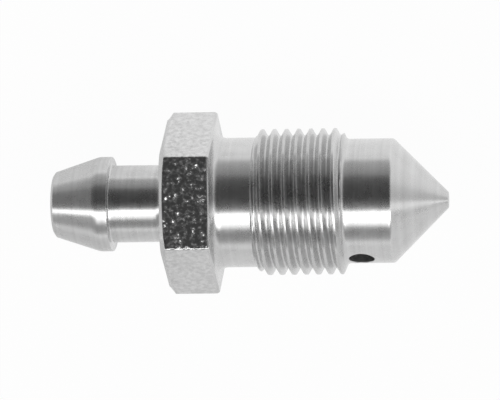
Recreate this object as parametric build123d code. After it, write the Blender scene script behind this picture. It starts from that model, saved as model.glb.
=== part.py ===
from build123d import *
from math import cos, radians, tan
import os

# A bleeder screw for a hydraulic brake: one piece, turned and drilled from hexagonal steel bar.
# A hose pushes onto the barbed nipple, a spanner turns the hexagon, and the cone at the other end
# closes the port. Backing the screw off lets fluid in at the side port and out along the bore.
#
# The screw's axis is X. The nipple points to -X and the sealing cone to +X.
# The origin is on the axis, at the middle of the threaded length.
# Two flats of the hexagon are level, so +Z is square to one flat and the corners point to +Y and -Y.
# The thread is a plain cylinder of its major diameter, with the turned bevels at both of its ends.

# Driving dimensions, in millimetres and degrees.

# Hose nipple: the tapered lead-in, the barb's cylindrical land and the neck behind it.
nipple_tip_diameter = 5.3
nipple_tip_bevel = 0.2
taper_length = 3.5
barb_diameter = 7.8
barb_length = 1.2
neck_diameter = 6.35
neck_length = 4.85
neck_fillet = 0.4

# Hexagon: the bevels are measured inward from the corners, square to the screw's axis.
hexagon_across_flats = 13.0
hexagon_length = 4.1
hexagon_bevel_angle = 30.0
nipple_side_bevel = 0.65
thread_side_bevel = 0.15

# Shank and thread.
shank_diameter = 10.65
shank_length = 3.15
shank_fillet = 0.3
thread_diameter = 12.0
thread_length = 7.5
thread_start_bevel = 0.5
thread_end_bevel = 0.4

# Plain end with the side port, and the sealing cone.
plain_end_diameter = 10.2
plain_end_length = 3.85
cone_angle = 90.0
cone_tip_diameter = 1.3

# Drillings: the blind bore from the nipple, and the side port that meets it.
bore_diameter = 3.0
bore_mouth_bevel = 0.2
bore_past_port = 0.4
drill_point_angle = 118.0
port_diameter = 2.1
port_from_thread = 1.25
port_tilt = 70.0

# How far the cutting outlines stand outside the metal that they cut.
tool_clearance = 1.0

# Stations along X, worked out from the thread in both directions.
thread_start = -thread_length / 2
thread_end = thread_start + thread_length
hexagon_end = thread_start - shank_length
hexagon_start = hexagon_end - hexagon_length
neck_start = hexagon_start - neck_length
taper_end = neck_start - barb_length
nipple_tip = taper_end - taper_length
cone_start = thread_end + plain_end_length
cone_length = (plain_end_diameter - cone_tip_diameter) / 2 / tan(radians(cone_angle / 2))
cone_tip = cone_start + cone_length
port_station = thread_end + port_from_thread
bore_end = port_station + port_diameter / 2 + bore_past_port

# The hexagon's corners, and the circles where its bevels meet its end faces.
corner_radius = hexagon_across_flats / 2 / cos(radians(30))
nipple_side_circle = corner_radius - nipple_side_bevel
thread_side_circle = corner_radius - thread_side_bevel


def turned(outline):
    """The solid that a closed outline of (station, radius) points sweeps about the screw's axis."""
    return revolve(Plane.XZ * outline, Axis.X, 360)


def outline_of(points):
    """A closed face through (station, radius) points that starts and ends on the axis."""
    return make_face(Polyline(*points, close=True))


def corner_at(face, station, radius):
    """The corner of an outline that lies nearest to a station and radius."""
    return face.vertices().sort_by_distance((station, radius))[0]


def lathe_outline():
    """What the lathe leaves: every turned surface from the nipple's tip to the cone's tip."""
    clear_radius = corner_radius + tool_clearance
    bevel_slope = tan(radians(hexagon_bevel_angle))
    nipple_side_rise = clear_radius - nipple_side_circle
    thread_side_rise = clear_radius - thread_side_circle
    face = outline_of(
        [
            (nipple_tip, 0),
            (nipple_tip, nipple_tip_diameter / 2),
            (taper_end, barb_diameter / 2),
            (neck_start, barb_diameter / 2),
            (neck_start, neck_diameter / 2),
            (hexagon_start, neck_diameter / 2),
            (hexagon_start, nipple_side_circle),
            (hexagon_start + nipple_side_rise * bevel_slope, clear_radius),
            (hexagon_end - thread_side_rise * bevel_slope, clear_radius),
            (hexagon_end, thread_side_circle),
            (hexagon_end, shank_diameter / 2),
            (thread_start, shank_diameter / 2),
            (thread_start + thread_start_bevel, thread_diameter / 2),
            (thread_end - thread_end_bevel, thread_diameter / 2),
            (thread_end, plain_end_diameter / 2),
            (cone_start, plain_end_diameter / 2),
            (cone_tip, cone_tip_diameter / 2),
            (cone_tip, 0),
        ]
    )
    face = chamfer(corner_at(face, nipple_tip, nipple_tip_diameter / 2), nipple_tip_bevel)
    face = fillet(corner_at(face, hexagon_start, neck_diameter / 2), neck_fillet)
    return fillet(corner_at(face, hexagon_end, shank_diameter / 2), shank_fillet)


def hexagonal_bar():
    """The bar stock, longer than the screw at both ends, with two flats level."""
    section = RegularPolygon(hexagon_across_flats / 2, 6, major_radius=False)
    bar_start = nipple_tip - tool_clearance
    bar_length = cone_tip + tool_clearance - bar_start
    return extrude(Plane.YZ.offset(bar_start) * section, bar_length)


def bore():
    """The blind drilling along the axis, with the drill's point at its end and a bevelled mouth."""
    radius = bore_diameter / 2
    drill_point_length = radius / tan(radians(drill_point_angle / 2))
    return turned(
        outline_of(
            [
                (nipple_tip - tool_clearance, 0),
                (nipple_tip - tool_clearance, radius + bore_mouth_bevel + tool_clearance),
                (nipple_tip + bore_mouth_bevel, radius),
                (bore_end, radius),
                (bore_end + drill_point_length, 0),
            ]
        )
    )


def side_port():
    """The drilling from the plain end's surface into the bore, tilted round the axis from +Z to -Y."""
    reach = plain_end_diameter / 2 + tool_clearance
    upright = Cylinder(port_diameter / 2, reach, align=(Align.CENTER, Align.CENTER, Align.MIN))
    return Pos(port_station, 0, 0) * Rot(X=port_tilt) * upright


def bleeder_screw():
    """The whole screw, made as in the shop: bar, lathe work, then the two drillings."""
    return (turned(lathe_outline()) & hexagonal_bar()) - bore() - side_port()


screw = bleeder_screw()

os.makedirs("parts", exist_ok=True)
export_step(screw, "parts/bleeder_screw.step")

print("overall length", round(cone_tip - nipple_tip, 3))
print("volume", round(screw.volume, 1), "solids", len(screw.solids()))
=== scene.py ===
# %% [markdown]
# # A bleeder screw, dressed round its CAD model
#
# A bleeder screw closes the highest point of a hydraulic brake. It is one piece of steel bar, turned, drilled
# and plated. This lesson rebuilds its surface finely enough for a close look: the real thread, the eased
# edges, the side port and the metal's different surfaces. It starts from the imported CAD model, which is the
# fixed frame: the finished piece stands in the same place and fills the same box, to 0.05 mm.

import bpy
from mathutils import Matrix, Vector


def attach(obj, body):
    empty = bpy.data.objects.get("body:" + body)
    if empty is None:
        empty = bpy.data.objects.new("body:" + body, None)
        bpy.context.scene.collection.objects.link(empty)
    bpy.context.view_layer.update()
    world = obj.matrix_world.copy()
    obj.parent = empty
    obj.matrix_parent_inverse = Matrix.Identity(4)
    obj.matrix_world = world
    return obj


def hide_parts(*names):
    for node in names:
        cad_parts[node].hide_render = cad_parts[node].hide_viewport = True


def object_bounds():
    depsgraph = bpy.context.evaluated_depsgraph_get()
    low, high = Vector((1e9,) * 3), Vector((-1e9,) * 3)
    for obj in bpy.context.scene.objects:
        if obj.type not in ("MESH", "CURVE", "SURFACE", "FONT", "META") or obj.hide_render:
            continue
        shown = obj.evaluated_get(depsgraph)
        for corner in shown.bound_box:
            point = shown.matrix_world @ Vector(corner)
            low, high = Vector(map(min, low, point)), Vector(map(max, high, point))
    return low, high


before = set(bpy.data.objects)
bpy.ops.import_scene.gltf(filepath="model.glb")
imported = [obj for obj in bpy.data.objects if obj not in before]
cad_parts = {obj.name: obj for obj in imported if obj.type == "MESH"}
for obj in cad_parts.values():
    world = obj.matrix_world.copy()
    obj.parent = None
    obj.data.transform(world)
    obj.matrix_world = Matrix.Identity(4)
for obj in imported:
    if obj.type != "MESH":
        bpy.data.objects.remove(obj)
cad_low, cad_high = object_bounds()
print("CAD box in mm:", [round(1000 * v, 3) for v in (*cad_low, *cad_high)])

# %% Bring in the tools
from math import atan2, ceil, cos, pi, radians, sin, tan

import bmesh
import bpy
import numpy as np
from mathutils import Matrix, Vector

MM = 0.001
print("Blender", bpy.app.version_string)

# %% [markdown]
# ## The camera
#
# The part lies on a white table and the camera looks nearly straight down on it, so the table fills the
# whole picture. The nipple is at the left. The hexagon's right face shows as a thin sliver, so the camera
# stood a little to the right of square, and the screw's axis climbs slightly towards the right. A long lens
# keeps the outline nearly free of perspective. The alternative, a camera aimed with a constraint, hides the
# roll, so here its three axes are written out.

# %% Make the camera
CAMERA_SIDE_ANGLE = radians(6.78)
CAMERA_ROLL = radians(0.74)
CAMERA_DISTANCE = 300.0 * MM
NEAREST_SEEN = 20.0 * MM
CAMERA_LENS = 262.6
CAMERA_AIM = Vector((-4.315, 0.19, 0.0)) * MM

backward = Vector((sin(CAMERA_SIDE_ANGLE), 0, cos(CAMERA_SIDE_ANGLE)))
level = Vector((cos(CAMERA_SIDE_ANGLE), 0, -sin(CAMERA_SIDE_ANGLE)))
upright = backward.cross(level)
camera_right = level * cos(CAMERA_ROLL) - upright * sin(CAMERA_ROLL)
camera_up = level * sin(CAMERA_ROLL) + upright * cos(CAMERA_ROLL)

camera = bpy.data.objects.new("camera", bpy.data.cameras.new("camera"))
bpy.context.scene.collection.objects.link(camera)
camera.data.lens = CAMERA_LENS
camera.data.clip_start = NEAREST_SEEN
turn = Matrix((camera_right, camera_up, backward)).transposed().to_4x4()
camera.matrix_world = Matrix.Translation(CAMERA_AIM + CAMERA_DISTANCE * backward) @ turn
bpy.context.scene.camera = camera
print("camera at", [round(v, 4) for v in camera.location], "lens", camera.data.lens)

# %% [markdown]
# ## The sizes
#
# Every size is in millimetres, with X along the screw, the nipple towards -X, and the origin at the middle
# of the threaded length. The lengths are added up from the thread outwards, as they are in the CAD model.
# The diameters are the solid's. A close look at the photograph made the nipple's taper 0.3 mm longer than
# the solid's, the barb's land and the neck 0.15 mm shorter each, and the two fillets at the hexagon larger.
# Sizes could also be read off the CAD mesh, but a named list is easier to follow and to change. Printing
# both ends against the CAD box shows at once whether the two still agree.

# %% Name the screw's sizes
NIPPLE_TIP_RADIUS = 5.3 / 2
NIPPLE_TIP_BEVEL = 0.2
TIP_BEVEL_LENGTH = 0.186
TAPER_LENGTH = 3.8
BARB_RADIUS = 7.8 / 2
BARB_LENGTH = 1.05
BARB_FRONT_ROUND = 1.2
NECK_RADIUS = 6.35 / 2
NECK_LENGTH = 4.7
NECK_FILLET = 0.7
FLAT_RADIUS = 13.0 / 2
HEXAGON_LENGTH = 4.1
NIPPLE_SIDE_BEVEL = 0.65
THREAD_SIDE_BEVEL = 0.15
SHANK_RADIUS = 10.65 / 2
SHANK_LENGTH = 3.15
SHANK_FILLET = 0.7
THREAD_RADIUS = 12.0 / 2
THREAD_LENGTH = 7.5
THREAD_START_BEVEL = 0.5
THREAD_END_BEVEL = 0.4
PLAIN_END_RADIUS = 10.2 / 2
PLAIN_END_LENGTH = 3.85
CONE_FOOT_ROUND = 0.35
CONE_TIP_RADIUS = 1.3 / 2
BORE_RADIUS = 3.0 / 2
BORE_MOUTH_BEVEL = 0.2
BORE_PAST_PORT = 0.4
DRILL_POINT_ANGLE = radians(118)
PORT_RADIUS = 2.1 / 2
PORT_FROM_THREAD = 1.25
print("hexagon mm:", 2 * FLAT_RADIUS, "thread mm:", 2 * THREAD_RADIUS)

# %% Work out the stations along the screw
thread_start = -THREAD_LENGTH / 2
thread_end = THREAD_LENGTH / 2
hexagon_end = thread_start - SHANK_LENGTH
hexagon_start = hexagon_end - HEXAGON_LENGTH
neck_start = hexagon_start - NECK_LENGTH
taper_end = neck_start - BARB_LENGTH
nipple_tip = taper_end - TAPER_LENGTH
cone_start = thread_end + PLAIN_END_LENGTH
cone_tip = cone_start + PLAIN_END_RADIUS - CONE_TIP_RADIUS
port_station = thread_end + PORT_FROM_THREAD
bore_end = port_station + PORT_RADIUS + BORE_PAST_PORT
bore_point = bore_end + BORE_RADIUS / tan(DRILL_POINT_ANGLE / 2)
print("ends in mm:", round(nipple_tip, 3), round(cone_tip, 3))
print("CAD ends in mm:", round(cad_low.x / MM, 3), round(cad_high.x / MM, 3))

# %% [markdown]
# ## Columns round the screw
#
# The whole surface is one sheet of rows and columns: rows run round the screw, columns run along it. The
# hexagon is the part that decides where the columns stand. Its six edges aren't knife edges, because the
# bar is drawn through a die, so each gets a small round with seven columns of its own. A flat's columns are
# evenly spaced between two that stand just outside the rounds, which keeps its shading flat. A cylinder
# primitive with a bevel modifier would be quicker, but it couldn't carry the thread in the same sheet.

# %% Lay out the columns
EDGE_ROUND = 0.2
STEPS_PER_FLAT = 28

# The angle between an edge's round and the first column of a flat, in radians.
EDGE_MARGIN = 0.0133

# The centre of an edge's round, and half the angle that the round takes up, seen from the axis.
edge_centre = (FLAT_RADIUS - EDGE_ROUND) / cos(radians(30))
edge_reach = np.arctan2(EDGE_ROUND * 0.5, edge_centre + EDGE_ROUND * cos(radians(30)))
edge_steps = np.array([0, 1 / 3, 2 / 3, 1]) * edge_reach
flat_steps = np.linspace(edge_reach + EDGE_MARGIN, pi / 3 - edge_reach - EDGE_MARGIN, STEPS_PER_FLAT)
one_side = np.concatenate([edge_steps, flat_steps, pi / 3 - edge_steps[:0:-1]])
turns = np.append(np.concatenate([one_side + side * pi / 3 for side in range(6)]), 2 * pi)
print("columns:", len(turns) - 1)


def hexagon_radius(angles):
    """How far the hexagon's surface is from the axis, with its edges rounded."""
    from_edge = np.abs((angles + pi / 6) % (pi / 3) - pi / 6)
    on_flat = FLAT_RADIUS / np.cos(pi / 6 - from_edge)
    sideways = np.minimum(edge_centre * np.sin(from_edge), EDGE_ROUND)
    on_edge = edge_centre * np.cos(from_edge) + np.sqrt(EDGE_ROUND**2 - sideways**2)
    return np.where(from_edge < edge_reach, on_edge, on_flat)


hexagon = hexagon_radius(turns)
print("hexagon radius from", round(hexagon.min(), 3), "to", round(hexagon.max(), 3))

# %% [markdown]
# ## Eased corners
#
# A lathe leaves no perfectly sharp edge, and the light that a rounded edge catches is what makes turned
# metal look real. So the outline is written as a list of corners, each a station, a radius and the size of
# its round, and one helper turns each corner into an arc. Any of the three may be one number, or one number
# for every column, which is how the hexagon's bevels get their curved edges. A row is held just before and
# after each arc, so that the smooth shading of the arc doesn't spread into the flat beside it.

# %% Turn corners into arcs
ARC_STEP = radians(22)
HOLD = 0.06
HOLD_SHARE = 0.3


def per_column(value):
    """One value for every column."""
    return np.broadcast_to(np.asarray(value, float), turns.shape)


def unit(vectors):
    """Each vector at length one."""
    return vectors / np.maximum(np.linalg.norm(vectors, axis=1, keepdims=True), 1e-12)


def eased_rows(outline):
    """The rows of an outline, as (station, radius) pairs, with an arc at each corner that has a round."""
    corners = [np.stack([per_column(x), per_column(r)], axis=1) for x, r, _ in outline]
    rounds = [per_column(size)[:, None] for _, _, size in outline]
    last = len(outline) - 1
    lengths = [np.linalg.norm(b - a, axis=1, keepdims=True) for a, b in zip(corners, corners[1:])]
    bends, reaches = [None], [0 * rounds[0]]
    for i in range(1, last):
        before, after = unit(corners[i - 1] - corners[i]), unit(corners[i + 1] - corners[i])
        bends.append(np.arccos(np.clip(-(before * after).sum(1, keepdims=True), -1, 1)))
        reaches.append(rounds[i] * np.tan(bends[i] / 2))
    reaches.append(reaches[0])
    rows = [corners[0]]
    for i in range(1, last):
        corner, bend, reach, size = corners[i], bends[i], reaches[i], rounds[i]
        if size.max() == 0:
            rows.append(corner)
            continue
        before, after = unit(corners[i - 1] - corner), unit(corners[i + 1] - corner)
        room_before = np.minimum(HOLD, HOLD_SHARE * (lengths[i - 1] - reaches[i - 1] - reach))
        room_after = np.minimum(HOLD, HOLD_SHARE * (lengths[i] - reaches[i + 1] - reach))
        centre = corner + unit(before + after) * size / np.cos(bend / 2)
        first, final = corner + before * reach - centre, corner + after * reach - centre
        rows.append(corner + before * (reach + room_before))
        steps = max(2, ceil(bend.max() / ARC_STEP))
        for share in np.linspace(0, 1, steps + 1):
            spoke = np.sin((1 - share) * bend) * first + np.sin(share * bend) * final
            rows.append(centre + spoke / np.sin(bend))
        rows.append(corner + after * (reach + room_after))
    return rows + [corners[last]]


# %% [markdown]
# ## Nipple, neck and hexagon
#
# The first outline starts at the drill's point deep inside, comes out along the bore, and then follows the
# outside: tip, taper, barb, neck, hexagon and shank. The lathe turned a bevel on the hexagon's corners, down
# to a circle on each end face. On the nipple's side it bites deepest at the corners, and at the middle of
# each flat only a small break is left. On the thread's side it is so light that the break is all that shows,
# and grows a little longer at the corners. Cutting it with a Boolean would leave long thin faces on the
# flats. So the place where it starts and ends is worked out for every column, from the hexagon's own radius
# there.

# %% Bevel the hexagon's ends
NIPPLE_SIDE_BREAK = 0.25
THREAD_SIDE_BREAK = 0.12
BREAK_GROWTH = 0.8

corner_radius = FLAT_RADIUS / cos(radians(30))
nipple_side_circle = corner_radius - NIPPLE_SIDE_BEVEL
thread_side_circle = corner_radius - THREAD_SIDE_BEVEL


def bevelled_end(circle, edge_break):
    """Where a bevel leaves the hexagon's end face, and how far along the flats it reaches, by column."""
    face_radius = np.minimum(hexagon - edge_break, circle)
    reach = edge_break * (1 + BREAK_GROWTH * (hexagon - FLAT_RADIUS))
    return face_radius, reach


nipple_side_radius, nipple_side_reach = bevelled_end(nipple_side_circle, NIPPLE_SIDE_BREAK)
thread_side_radius, thread_side_reach = bevelled_end(thread_side_circle, THREAD_SIDE_BREAK)
for name, reach in (("nipple's", nipple_side_reach), ("thread's", thread_side_reach)):
    print(f"bevel reach on the {name} side:", reach.min().round(3), "to", reach.max().round(3))

# %% Write the outline from the bore to the shank
BORE_ROW_STEP = 0.2
CLOSE_ROWS_REACH = 1.9
LAST_ROW_GAP = 0.05

taper_slope = (BARB_RADIUS - NIPPLE_TIP_RADIUS) / TAPER_LENGTH

# The bore's rows stand close together only where the side port will be cut through them.
close_rows_end = port_station - CLOSE_ROWS_REACH
bore_stations = np.arange(bore_end - BORE_ROW_STEP, close_rows_end, -BORE_ROW_STEP)

# Each corner's station, radius and round.
front_outline = [
    (bore_point, 0, 0),
    (bore_end, BORE_RADIUS, 0.03),
    *[(x, BORE_RADIUS, 0) for x in bore_stations],
    (nipple_tip + BORE_MOUTH_BEVEL, BORE_RADIUS, 0.05),
    (nipple_tip, BORE_RADIUS + BORE_MOUTH_BEVEL, 0.04),
    (nipple_tip, NIPPLE_TIP_RADIUS - NIPPLE_TIP_BEVEL, 0.06),
    (nipple_tip + TIP_BEVEL_LENGTH, NIPPLE_TIP_RADIUS + TIP_BEVEL_LENGTH * taper_slope, 0.1),
    (taper_end, BARB_RADIUS, BARB_FRONT_ROUND),
    (neck_start, BARB_RADIUS, 0.06),
    (neck_start, NECK_RADIUS, 0.12),
    (hexagon_start, NECK_RADIUS, NECK_FILLET),
    (hexagon_start, nipple_side_radius, 0.07),
    (hexagon_start + nipple_side_reach, hexagon, 0.1),
    (hexagon_end - thread_side_reach, hexagon, 0.12),
    (hexagon_end, thread_side_radius, 0.1),
    (hexagon_end, SHANK_RADIUS, SHANK_FILLET),
    (thread_start - LAST_ROW_GAP, SHANK_RADIUS, 0),
]
front_rows = eased_rows(front_outline)
print("rows up to the thread:", len(front_rows))

# %% [markdown]
# ## The thread
#
# M12 x 1, right-hand: a 60 degree groove that moves one millimetre along the screw in each turn. The crests
# are a little wider than a new standard thread's, as the photograph shows them, so the groove is a little
# shallower too. A screw modifier or a Boolean sweep could cut it, but both leave slivers where the thread
# runs out. Here the rows themselves wind round the screw like the groove, one row in each turn for each
# point of the thread's section, and they are held back at the two ends. There the section is blended into
# the turned bevels, so the crests fade out just as they do when a die or a threading tool runs over a
# bevelled blank. A small hollow round joins the last bevel to the plain end.

# %% Describe the thread's section
PITCH = 1.0
CREST_HALF_WIDTH = 0.1
CREST_ROUND = 0.05
FLANK_SLOPE = tan(radians(60))
FLANK_END = 0.375 * PITCH
ROOT_ROUND = (PITCH / 2 - FLANK_END) / cos(radians(30))
THREAD_DEPTH = (FLANK_END - CREST_HALF_WIDTH) * FLANK_SLOPE + ROOT_ROUND / 2
crest_arc_start = CREST_HALF_WIDTH - CREST_ROUND * tan(radians(30))
crest_arc_end = crest_arc_start + CREST_ROUND * cos(radians(30))
crest_arc = np.linspace(crest_arc_start, crest_arc_end, 4)

# Where the rows lie from a crest's middle to the groove's middle, in pitches.
half_section = [0, *(crest_arc / PITCH), 0.18, 0.28, FLANK_END / PITCH, 0.41, 0.455, 0.5]
print("thread depth in mm:", round(THREAD_DEPTH, 3))


def thread_depth(offset):
    """The groove's depth at a distance along the screw from the middle of a crest."""
    away = np.abs((offset + PITCH / 2) % PITCH - PITCH / 2)
    flank = (away - CREST_HALF_WIDTH) * FLANK_SLOPE
    on_crest = CREST_ROUND - np.sqrt(np.maximum(CREST_ROUND**2 - (away - crest_arc_start) ** 2, 0))
    root_rise = np.sqrt(np.maximum(ROOT_ROUND**2 - (PITCH / 2 - away) ** 2, 0))
    in_root = THREAD_DEPTH - ROOT_ROUND + root_rise
    edges = [away < crest_arc_start, away < crest_arc_end, away <= FLANK_END]
    return np.select(edges, [0, on_crest, flank], in_root)


# %% Blend the section into the end bevels
BLEND = 0.06
FOOT_FILLET = 0.4

# A crest on the +Y side lies this many pitches past the thread's start.
CREST_AT_BACK = 1.56

foot_angle = atan2(THREAD_RADIUS - PLAIN_END_RADIUS, THREAD_END_BEVEL)
foot_reach = FOOT_FILLET * tan(foot_angle / 2)
print("hollow round reaches past the thread, in mm:", round(foot_reach, 3))


def smaller(a, b):
    """The smaller of two radii, with the corner between them rounded off."""
    share = np.clip(0.5 + 0.5 * (b - a) / BLEND, 0, 1)
    return b * (1 - share) + a * share - BLEND * share * (1 - share)


def foot_radius(station):
    """The hollow round where the thread's end bevel meets the plain end."""
    to_go = np.clip(thread_end + foot_reach - station, 0, FOOT_FILLET)
    return PLAIN_END_RADIUS + FOOT_FILLET - np.sqrt(FOOT_FILLET**2 - to_go**2)


def threaded_radius(station, angle):
    """The radius of the threaded length at a station and an angle round the screw from +Y."""
    crest_line = thread_start + (CREST_AT_BACK + angle / (2 * pi)) * PITCH
    section = THREAD_RADIUS - thread_depth(station - crest_line)
    from_start, from_end = station - thread_start, thread_end - station
    start_bevel = SHANK_RADIUS + from_start * (THREAD_RADIUS - SHANK_RADIUS) / THREAD_START_BEVEL
    end_bevel = PLAIN_END_RADIUS + from_end * (THREAD_RADIUS - PLAIN_END_RADIUS) / THREAD_END_BEVEL
    turned = smaller(section, np.minimum(start_bevel, end_bevel))
    return np.where(from_end < foot_reach * cos(foot_angle), foot_radius(station), turned)


# %% Wind the thread's rows
section_offsets = np.array(half_section + [1 - v for v in half_section[-2:0:-1]])
first_pitch = CREST_AT_BACK % 1 - 2
thread_rows = []
for pitch_number in range(ceil(THREAD_LENGTH / PITCH) + 3):
    for offset in section_offsets:
        wound = thread_start + (first_pitch + pitch_number + offset + turns / (2 * pi)) * PITCH
        station = np.clip(wound, thread_start, thread_end)
        thread_rows.append(np.stack([station, threaded_radius(station, turns)], axis=1))
print("rows in the thread:", len(thread_rows))

# %% [markdown]
# ## Plain end and sealing cone
#
# Behind the thread comes a smooth end that the side port is drilled through, and then the 90 degree cone
# that seals against its seat. A cylinder and a cone would give the shape, but their long faces would shade
# badly round the port. So rows stand close together on the plain end: the port will be cut into small
# faces, and its rim stays clean.

# %% Write the outline from the thread to the tip
PLAIN_ROW_STEP = 0.15
CONE_FOOT_ROOM = 0.3
FOOT_STEPS = np.array([0.15, 0.35, 0.6, 0.8, 1.0])

foot_stations = thread_end + foot_reach * FOOT_STEPS
plain_start = thread_end + foot_reach + LAST_ROW_GAP
plain_stations = np.arange(plain_start, cone_start - CONE_FOOT_ROOM, PLAIN_ROW_STEP)
rear_outline = [
    *[(x, foot_radius(x), 0) for x in foot_stations],
    *[(x, PLAIN_END_RADIUS, 0) for x in plain_stations],
    (cone_start, PLAIN_END_RADIUS, CONE_FOOT_ROUND),
    (cone_tip, CONE_TIP_RADIUS, 0.12),
    (cone_tip, 0, 0),
]
rear_rows = eased_rows(rear_outline)
print("rows behind the thread:", len(rear_rows))

# %% [markdown]
# ## From rows to a mesh
#
# All rows go into one grid of points, and each four neighbours make a face. Blender's Screw modifier makes
# such a grid from one outline, but it can't bend the outline from column to column. The last column stands
# on the first, and the thread's held-back rows stand on each other, so points that coincide are merged
# afterwards. The result is one closed skin, inside and outside together, which the port's Boolean needs.

# %% Build the skin
MERGE_DISTANCE = 2e-7
SHORTEST_EDGE = 1e-8

rows = np.array(front_rows + thread_rows + rear_rows)
stations, radii = rows[..., 0], rows[..., 1]
points = np.stack([stations, radii * np.cos(turns), radii * np.sin(turns)], axis=-1)
row_count, column_count = rows.shape[:2]
index = np.arange(row_count * column_count).reshape(row_count, column_count)
four_corners = [index[:-1, :-1], index[:-1, 1:], index[1:, 1:], index[1:, :-1]]
quads = np.stack(four_corners, axis=-1).reshape(-1, 4)

skin = bpy.data.meshes.new("turned_screw")
skin.from_pydata((points.reshape(-1, 3) * MM).tolist(), [], quads.tolist())
mender = bmesh.new()
mender.from_mesh(skin)
bmesh.ops.remove_doubles(mender, verts=mender.verts, dist=MERGE_DISTANCE)
bmesh.ops.dissolve_degenerate(mender, dist=SHORTEST_EDGE, edges=mender.edges)
bmesh.ops.recalc_face_normals(mender, faces=mender.faces)
open_edges = sum(not edge.is_manifold for edge in mender.edges)
print("faces:", len(mender.faces), "open edges:", open_edges)
print("volume mm3:", round(mender.calc_volume() / MM**3, 1))
mender.to_mesh(skin)
mender.free()
screw = bpy.data.objects.new("turned_screw", skin)
bpy.context.scene.collection.objects.link(screw)

# %% [markdown]
# ## The side port
#
# Fluid enters through a hole drilled across into the bore. A Boolean is the right tool here, because the
# hole's rim is a curve that no row or column follows. The cutter is a drill that flares at the surface, so
# the rim comes out with a small break. Its rings follow the curve of the plain end, or else the break
# would be wide on two sides of the hole and vanish on the others.

# %% Cut the side port
PORT_TILT = radians(70)
PORT_SIDES = 64
RIM_BREAK = 0.06
FLARE = 0.4

drill_direction = np.array([0, -sin(PORT_TILT), cos(PORT_TILT)])
across = np.cross(drill_direction, [1, 0, 0])
around = np.linspace(0, 2 * pi, PORT_SIDES, endpoint=False)
surface = np.sqrt(PLAIN_END_RADIUS**2 - (PORT_RADIUS * np.sin(around)) ** 2)
drill_outline = [
    (PORT_RADIUS, 0 * surface),
    (PORT_RADIUS, surface - RIM_BREAK),
    (PORT_RADIUS + FLARE, surface - RIM_BREAK + FLARE),
]
rings = []
for radius, height in drill_outline:
    along_screw = radius * np.cos(around)[:, None] * np.array([1, 0, 0])
    round_screw = radius * np.sin(around)[:, None] * across
    rings.append(along_screw + round_screw + height[:, None] * drill_direction)
drill_points = np.concatenate(rings) + np.array([port_station, 0, 0])
following = np.roll(np.arange(PORT_SIDES), -1)
drill_faces = [list(range(PORT_SIDES))[::-1], list(range(2 * PORT_SIDES, 3 * PORT_SIDES))]
for ring in range(2):
    low, high = ring * PORT_SIDES, (ring + 1) * PORT_SIDES
    drill_faces += [[low + i, low + j, high + j, high + i] for i, j in enumerate(following)]
drill_faces = [[int(i) for i in face] for face in drill_faces]

drill_mesh = bpy.data.meshes.new("drill")
drill_mesh.from_pydata((drill_points * MM).tolist(), [], drill_faces)
mender = bmesh.new()
mender.from_mesh(drill_mesh)
bmesh.ops.recalc_face_normals(mender, faces=mender.faces)
mender.to_mesh(drill_mesh)
mender.free()
drill = bpy.data.objects.new("drill", drill_mesh)
bpy.context.scene.collection.objects.link(drill)

port_cut = screw.modifiers.new("side_port", "BOOLEAN")
port_cut.operation = "DIFFERENCE"
port_cut.solver = "EXACT"
port_cut.object = drill
bored = bpy.data.meshes.new_from_object(screw.evaluated_get(bpy.context.evaluated_depsgraph_get()))
screw.modifiers.clear()
screw.data = bored
bpy.data.objects.remove(drill)
print("faces with the port:", len(bored.polygons))

# %% [markdown]
# ## Metal finishes
#
# The whole screw is plated steel, but the light shows different surfaces. Everything that the lathe cut is
# bright and carries fine rings from the tool. The hexagon's flats are the skin of the drawn bar, which is
# pitted, and the drilled holes are dark. Image textures would need unwrapping, so the finishes are noise
# patterns in the object's own coordinates, where a noise's scale is how often it repeats in a metre. Noise
# stays mostly between 0.3 and 0.7, and the sum of two noises between 0.7 and 1.3, so the tones and the
# roughnesses are spread over about those ranges and not from 0 to 1. Nodes could be added one by one, but a
# few short helpers keep the node trees readable.

# %% Help to wire a material


def wire(tree, kind, settings=None, **values):
    """Adds a node and gives its outputs.

    Values go to its inputs by name, or by place as i0, i1 and so on. Each is a number, a colour or
    another node's output.
    """
    made = tree.nodes.new(kind)
    for name, value in (settings or {}).items():
        setattr(made, name, value)
    for name, value in values.items():
        by_place = name[0] == "i" and name[1:].isdigit()
        socket = made.inputs[int(name[1:]) if by_place else name]
        if isinstance(value, bpy.types.NodeSocket):
            tree.links.new(value, socket)
        else:
            socket.default_value = value
    return made.outputs


def metal(name):
    """An empty metal material: its node tree and its shader."""
    made = bpy.data.materials.new(name)
    made.use_nodes = True
    tree = made.node_tree
    tree.nodes.clear()
    shader = tree.nodes.new("ShaderNodeBsdfPrincipled")
    shader.inputs["Metallic"].default_value = 1.0
    output = tree.nodes.new("ShaderNodeOutputMaterial")
    tree.links.new(shader.outputs["BSDF"], output.inputs["Surface"])
    return made, tree, shader


def calculate(tree, operation, a, b):
    """One step of arithmetic between two values."""
    return wire(tree, "ShaderNodeMath", {"operation": operation}, i0=a, i1=b)[0]


def on_vectors(tree, operation, *inputs):
    """One step of arithmetic on vectors. The outputs are a Vector and a Value."""
    by_place = {f"i{place}": value for place, value in enumerate(inputs)}
    return wire(tree, "ShaderNodeVectorMath", {"operation": operation}, **by_place)


def graded(tree, value, start, end, at_start, at_end):
    """Goes evenly from one number to another while a value goes from start to end."""
    return wire(tree, "ShaderNodeMapRange", Value=value, i1=start, i2=end, i3=at_start, i4=at_end)[0]


def grey(tree, tone):
    """A grey of the given tone."""
    return wire(tree, "ShaderNodeCombineColor", i0=tone, i1=tone, i2=tone)[0]


def noise(tree, per_metre, **values):
    """Noise through space from a Vector, or along one line from a W."""
    dimensions = {"noise_dimensions": "1D" if "W" in values else "3D"}
    return wire(tree, "ShaderNodeTexNoise", dimensions, Scale=per_metre, **values)


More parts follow.
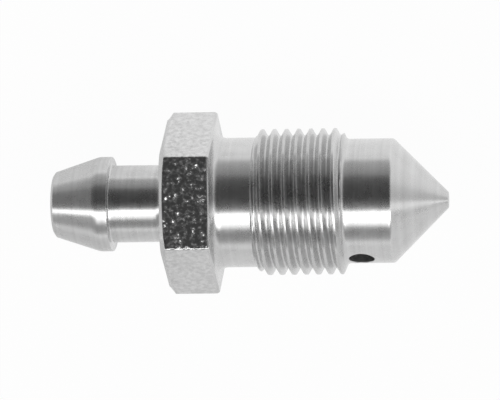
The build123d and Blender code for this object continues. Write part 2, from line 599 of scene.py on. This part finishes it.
# %% [markdown]
# ### Turned steel
#
# A turning tool leaves a very fine spiral, so the pattern is noise along one line only: the distance that
# the tool has travelled. On a cylinder that is the station along X, and on a face it is the radius. Adding
# a share of the radius to the station serves both, and the cone and the tapers between them. The spiral is
# far too fine to see as lines, so it also smears reflections along the screw. That is the shader's
# anisotropy, which needs a tangent that runs round the axis. The thread was cut by another tool, and has the
# same finish in slightly darker tones.

# %% Make the turned steel
FINE_RINGS_PER_METRE = 9000.0
WIDE_RINGS_PER_METRE = 2600.0
CLOUDS_PER_METRE = 900.0
RADIUS_SHARE = 0.37
RING_HEIGHT = 0.0005 * MM
SMEAR = 0.75
QUARTER_TURN = 0.25


def lathe_finish(name, darkest, palest, glossiest, dullest):
    """Bright steel with fine tool rings, between two tones and two roughnesses."""
    made, tree, shader = metal(name)
    place = wire(tree, "ShaderNodeTexCoord")["Object"]
    split = wire(tree, "ShaderNodeSeparateXYZ", i0=place)
    across_axis = wire(tree, "ShaderNodeCombineXYZ", i1=split["Y"], i2=split["Z"])[0]
    radius_here = on_vectors(tree, "LENGTH", across_axis)["Value"]
    tool_path = calculate(tree, "ADD", split["X"], calculate(tree, "MULTIPLY", radius_here, RADIUS_SHARE))
    fine_rings = noise(tree, FINE_RINGS_PER_METRE, W=tool_path, Detail=1.0)["Fac"]
    wide_rings = noise(tree, WIDE_RINGS_PER_METRE, W=tool_path, Detail=2.0)["Fac"]
    clouds = noise(tree, CLOUDS_PER_METRE, Vector=place, Detail=4.0, Roughness=0.6)["Fac"]
    patches = calculate(tree, "ADD", wide_rings, clouds)
    tone = graded(tree, patches, 0.7, 1.3, darkest, palest)
    tree.links.new(grey(tree, tone), shader.inputs["Base Color"])
    gloss = graded(tree, clouds, 0.3, 0.7, glossiest, dullest)
    tree.links.new(gloss, shader.inputs["Roughness"])
    shader.inputs["Anisotropic"].default_value = SMEAR
    shader.inputs["Anisotropic Rotation"].default_value = QUARTER_TURN
    round_the_axis = wire(tree, "ShaderNodeTangent", {"direction_type": "RADIAL", "axis": "X"})[0]
    tree.links.new(round_the_axis, shader.inputs["Tangent"])
    ring_height = calculate(tree, "ADD", fine_rings, calculate(tree, "MULTIPLY", wide_rings, 2.0))
    rings = wire(tree, "ShaderNodeBump", Strength=1.0, Distance=RING_HEIGHT, Height=ring_height)[0]
    tree.links.new(rings, shader.inputs["Normal"])
    print(name, "has", len(tree.nodes), "nodes")
    return made


turned_steel = lathe_finish("turned_steel", 0.60, 0.70, 0.25, 0.31)
threaded_steel = lathe_finish("threaded_steel", 0.555, 0.675, 0.24, 0.32)

# %% [markdown]
# ### Drawn bar on the flats
#
# The flats were never cut. Rolling and drawing leave small pits and scabs about a quarter of a millimetre
# across, which catch light from all sides as sparkles on a dark ground. Two sizes of noise make the relief,
# and the finer one darkens and dulls the metal in the pits. Bump alone gives too few sparkles, because each
# glint needs a facet that leans far over. So a third noise, in three directions at once, first leans the
# surface's own normal, and the bump is laid over that.

# %% Make the drawn bar
PITS_PER_METRE = 2700.0
SCABS_PER_METRE = 1500.0
FACETS_PER_METRE = 2900.0
FACET_LEAN = 0.74
SCAB_SHARE = 0.6
PIT_DEPTH = 0.02 * MM

drawn_bar, tree, shader = metal("drawn_bar")
place = wire(tree, "ShaderNodeTexCoord")["Object"]
pits = noise(tree, PITS_PER_METRE, Vector=place, Detail=2.0, Roughness=0.5)["Fac"]
scabs = noise(tree, SCABS_PER_METRE, Vector=place, Detail=2.0)["Fac"]
relief = calculate(tree, "ADD", pits, calculate(tree, "MULTIPLY", scabs, SCAB_SHARE))
leaning = noise(tree, FACETS_PER_METRE, Vector=place, Detail=2.0, Roughness=0.6)["Color"]
lean = on_vectors(tree, "SUBTRACT", leaning, (0.5, 0.5, 0.5))["Vector"]
level_flat = wire(tree, "ShaderNodeNewGeometry")["Normal"]
facets = on_vectors(tree, "MULTIPLY_ADD", lean, (FACET_LEAN,) * 3, level_flat)["Vector"]
facets = on_vectors(tree, "NORMALIZE", facets)["Vector"]
tone = graded(tree, pits, 0.35, 0.65, 0.575, 0.695)
tree.links.new(grey(tree, tone), shader.inputs["Base Color"])
gloss = graded(tree, pits, 0.3, 0.7, 0.16, 0.11)
tree.links.new(gloss, shader.inputs["Roughness"])
bumps = wire(tree, "ShaderNodeBump", Strength=1.0, Distance=PIT_DEPTH, Height=relief, Normal=facets)[0]
tree.links.new(bumps, shader.inputs["Normal"])
print("drawn bar:", len(tree.nodes), "nodes")

# %% [markdown]
# ### Drilled steel
#
# Plating hardly reaches down a narrow hole, and a drill tears more than it cuts. The bore and the port are
# darker and rougher than the outside. So little of them is seen that one noise does for colour and relief.

# %% Make the drilled steel
SCORES_PER_METRE = 3000.0
SCORE_DEPTH = 0.006 * MM

drilled_steel, tree, shader = metal("drilled_steel")
place = wire(tree, "ShaderNodeTexCoord")["Object"]
scores = noise(tree, SCORES_PER_METRE, Vector=place, Detail=3.0)["Fac"]
tone = graded(tree, scores, 0.3, 0.7, 0.26, 0.38)
tree.links.new(grey(tree, tone), shader.inputs["Base Color"])
shader.inputs["Roughness"].default_value = 0.5
bumps = wire(tree, "ShaderNodeBump", Strength=1.0, Distance=SCORE_DEPTH, Height=scores)[0]
tree.links.new(bumps, shader.inputs["Normal"])
print("drilled steel:", len(tree.nodes), "nodes")

# %% [markdown]
# ### Which face gets which finish
#
# The finishes follow the way the screw was made, so a face's place and direction decide: the flats are the
# faces of the hexagon that run parallel to the axis, the drillings are whatever lies inside the bore's or
# the port's radius, and the thread is what stands above the shank in the threaded length. The rest is
# turned. This is done in numbers, once for all faces, and not by picking faces by hand.

# %% Give each face its finish
CLOSE = 0.01
FLAT_DEPTH = 0.2
PARALLEL = 0.1
MOUTH_DEPTH = 0.3
THREAD_MARGIN = 0.05
SHARP_ANGLE = radians(35)

count = len(bored.polygons)
centres, directions = np.empty(count * 3), np.empty(count * 3)
bored.polygons.foreach_get("center", centres)
bored.polygons.foreach_get("normal", directions)
centres, directions = centres.reshape(-1, 3) / MM, directions.reshape(-1, 3)
along = centres[:, 0]
from_axis = np.hypot(centres[:, 1], centres[:, 2])
on_flats = (along > hexagon_start) & (along < hexagon_end)
on_flats &= (from_axis > FLAT_RADIUS - FLAT_DEPTH) & (np.abs(directions[:, 0]) < PARALLEL)
in_bore = (along > nipple_tip + MOUTH_DEPTH) & (along < bore_point + CLOSE)
in_bore &= from_axis < BORE_RADIUS + CLOSE
beside_port = centres - np.array([port_station, 0, 0])
up_the_port = beside_port @ drill_direction
from_port = np.linalg.norm(beside_port - up_the_port[:, None] * drill_direction, axis=1)
in_port = (up_the_port > 0) & (up_the_port < PLAIN_END_RADIUS - RIM_BREAK / 2)
in_port &= from_port < PORT_RADIUS + CLOSE
on_thread = (np.abs(along) < THREAD_LENGTH / 2 - THREAD_MARGIN) & (from_axis > SHANK_RADIUS)
finish = np.select([on_flats, in_bore | in_port, on_thread], [1, 2, 3], 0)
bored.materials.clear()
for made in (turned_steel, drawn_bar, drilled_steel, threaded_steel):
    bored.materials.append(made)
bored.polygons.foreach_set("material_index", finish.astype(np.int32))
bored.shade_smooth()
bored.set_sharp_from_angle(angle=SHARP_ANGLE)
print("faces turned, drawn, drilled, threaded:", np.bincount(finish).tolist())

# %% [markdown]
# ## The white table
#
# The photograph has a clean white ground. The table is a plain surface at the height of the hexagon's lower
# flat. To the camera it is mostly white light of strength one, which reads as white paper however the room
# is lit, and a small share of ordinary matt white under it keeps the screw's shadow. Away from the screw
# that share fades out, so the table has no visible end. The polished steel sees the table too. There it is
# white as well, with painted shade: it is made dimmer on the near side and under the nipple, where less light
# falls on it.

# %% Make the table
TABLE_HALF = 600 * MM
MATT_SHARE = 0.035
MATT_FADE_START = 25 * MM
MATT_FADE_END = 70 * MM
# Painted shade in the white that the steel sees: its share on the near side and under the nipple.
NEAR_SIDE_PAINTED_SHADE = 0.63
SIDE_REACH = 12 * MM
NIPPLE_PAINTED_SHADE = 0.6
NIPPLE_SHADE_START = -12 * MM
NIPPLE_SHADE_END = -18 * MM

table_mesh = bpy.data.meshes.new("table")
signs = [(-1, -1), (1, -1), (1, 1), (-1, 1)]
corners = [(i * TABLE_HALF, j * TABLE_HALF, cad_low.z) for i, j in signs]
table_mesh.from_pydata(corners, [], [(0, 1, 2, 3)])
table = bpy.data.objects.new("table", table_mesh)
bpy.context.scene.collection.objects.link(table)

table_white = bpy.data.materials.new("table_white")
table_white.use_nodes = True
tree = table_white.node_tree
tree.nodes.clear()
place = wire(tree, "ShaderNodeTexCoord")["Object"]
away = on_vectors(tree, "LENGTH", place)["Value"]
near = graded(tree, away, MATT_FADE_START, MATT_FADE_END, MATT_SHARE, 0.0)
seen = wire(tree, "ShaderNodeLightPath")
spot = wire(tree, "ShaderNodeSeparateXYZ", i0=place)
# Painted shade: the white that the steel sees is dimmed on the near side and under the nipple.
side_painted_shade = graded(tree, spot["Y"], -SIDE_REACH, SIDE_REACH, NEAR_SIDE_PAINTED_SHADE, 1.0)
nipple_painted_shade = graded(tree, spot["X"], NIPPLE_SHADE_END, NIPPLE_SHADE_START, NIPPLE_PAINTED_SHADE, 1.0)
table_light_with_painted_shade = calculate(tree, "MULTIPLY", side_painted_shade, nipple_painted_shade)
glossy_share = calculate(tree, "MULTIPLY", seen["Is Glossy Ray"], table_light_with_painted_shade)
camera_share = calculate(tree, "MULTIPLY", seen["Is Camera Ray"], calculate(tree, "SUBTRACT", 1.0, near))
own_light = calculate(tree, "ADD", glossy_share, camera_share)
matt = wire(tree, "ShaderNodeBsdfDiffuse", Color=(0.85, 0.85, 0.85, 1))[0]
white = wire(tree, "ShaderNodeEmission", Color=(1, 1, 1, 1), Strength=1.0)[0]
mixed = wire(tree, "ShaderNodeMixShader", i0=own_light, i1=matt, i2=white)[0]
output = tree.nodes.new("ShaderNodeOutputMaterial")
tree.links.new(mixed, output.inputs["Surface"])
table_mesh.materials.append(table_white)
print("table at z mm:", round(cad_low.z / MM, 3))

# %% [markdown]
# ## The studio light
#
# Polished metal shows little colour of its own: it shows the room. The photograph's bands tell what stood
# round the screw: one bright strip light above and in front, a dark ceiling beside it where the camera
# hangs, grey walls, and white card low down all round. They run parallel to the screw, so the room is
# written as one list of brightness against the angle round the screw, and painted on the world behind
# everything. Lamps and boards set up round the part would do the same, but they would cast more shadows and
# show in other views. The strip stood close, so its image is narrower on the nipple than on the thread. It
# is laid over the list with two edges of its own, which move with the direction along the screw. A second
# list gives what the cone and the end faces see at the screw's two ends. The camera itself sees plain white.

# %% Light the studio

# Round the screw: degrees from straight above, towards +Y, and the brightness there.
ROOM = [
    (-180, 0.90),
    (-82, 0.95),
    (-75, 0.46),
    (-64, 0.32),
    (-45, 0.30),
    (-16.5, 0.22),
    (-5, 0.11),
    (4, 0.06),
    (16, 0.06),
    (32, 0.08),
    (44, 0.13),
    (52, 0.32),
    (66, 0.42),
    (78, 0.50),
    (86, 1.0),
    (180, 1.0),
]
STRIP_BRIGHTNESS = 2.9
STRIP_SOFT_EDGE = radians(6.5)
STRIP_AT_NIPPLE = (radians(-27.5), radians(-21.5))
STRIP_AT_THREAD = (radians(-43.5), radians(-24.0))

# How far along X a direction leans where the strip has its nipple's edges, and its thread's.
NIPPLE_DIRECTION = -0.2
THREAD_DIRECTION = -0.06

# Past the screw's ends: degrees from +X, towards +Y, and the brightness there.
END_ROOM = [
    (-180, 0.85),
    (-28, 0.9),
    (-20, 0.25),
    (-14, 0.30),
    (-8, 1.4),
    (-4, 1.3),
    (0, 0.58),
    (12, 0.58),
    (22, 0.9),
    (28, 1.1),
    (180, 0.85),
]

# How far along X a direction leans where the second list begins to show, and where it shows alone.
END_STARTS = 0.71
END_ALONE = 0.97
BRIGHTEST = 4.0


def light_by_angle(tree, angle, steps):
    """Brightness against an angle, from a list of (degrees, brightness) steps."""
    share = graded(tree, angle, -pi, pi, 0.0, 1.0)
    ramp = tree.nodes.new("ShaderNodeValToRGB")
    tree.links.new(share, ramp.inputs["Fac"])
    while len(ramp.color_ramp.elements) < len(steps):
        ramp.color_ramp.elements.new(0.5)
    for stop, (degrees, brightness) in zip(ramp.color_ramp.elements, steps):
        stop.position = (degrees + 180) / 360
        stop.color = (brightness / BRIGHTEST,) * 3 + (1,)
    return calculate(tree, "MULTIPLY", ramp.outputs["Color"], BRIGHTEST)


def blended(tree, share, a, b):
    """Goes from a to b as the share goes from 0 to 1."""
    return wire(tree, "ShaderNodeMix", {"data_type": "FLOAT"}, i0=share, i2=a, i3=b)[0]


world = bpy.data.worlds.new("studio")
bpy.context.scene.world = world
world.use_nodes = True
tree = world.node_tree
tree.nodes.clear()
direction = wire(tree, "ShaderNodeTexCoord")["Generated"]
split = wire(tree, "ShaderNodeSeparateXYZ", i0=direction)
round_angle = calculate(tree, "ARCTAN2", split["Y"], split["Z"])
walls = light_by_angle(tree, round_angle, ROOM)
low_edge, high_edge = [
    graded(tree, split["X"], NIPPLE_DIRECTION, THREAD_DIRECTION, nipple_edge, thread_edge)
    for nipple_edge, thread_edge in zip(STRIP_AT_NIPPLE, STRIP_AT_THREAD)
]
strip_start = calculate(tree, "SUBTRACT", low_edge, STRIP_SOFT_EDGE)
strip_end = calculate(tree, "ADD", high_edge, STRIP_SOFT_EDGE)
coming_in = graded(tree, round_angle, strip_start, low_edge, 0.0, 1.0)
going_out = graded(tree, round_angle, high_edge, strip_end, 1.0, 0.0)
in_strip = calculate(tree, "MINIMUM", coming_in, going_out)
band_light = blended(tree, in_strip, walls, STRIP_BRIGHTNESS)
end_angle = calculate(tree, "ARCTAN2", split["Y"], split["X"])
end_light = light_by_angle(tree, end_angle, END_ROOM)
off_square = calculate(tree, "ABSOLUTE", split["X"], 0.0)
endways = graded(tree, off_square, END_STARTS, END_ALONE, 0.0, 1.0)
room_light = blended(tree, endways, band_light, end_light)
seen = wire(tree, "ShaderNodeLightPath")["Is Camera Ray"]
shown = blended(tree, seen, room_light, 1.0)
sky = wire(tree, "ShaderNodeBackground", Strength=1.0, Color=shown)[0]
output = tree.nodes.new("ShaderNodeOutputWorld")
tree.links.new(sky, output.inputs["Surface"])
bpy.context.scene.view_settings.view_transform = "Standard"
print("room bands:", len(ROOM))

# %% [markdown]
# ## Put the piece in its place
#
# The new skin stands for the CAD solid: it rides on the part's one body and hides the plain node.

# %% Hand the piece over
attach(screw, "root")
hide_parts("bleeder_screw")
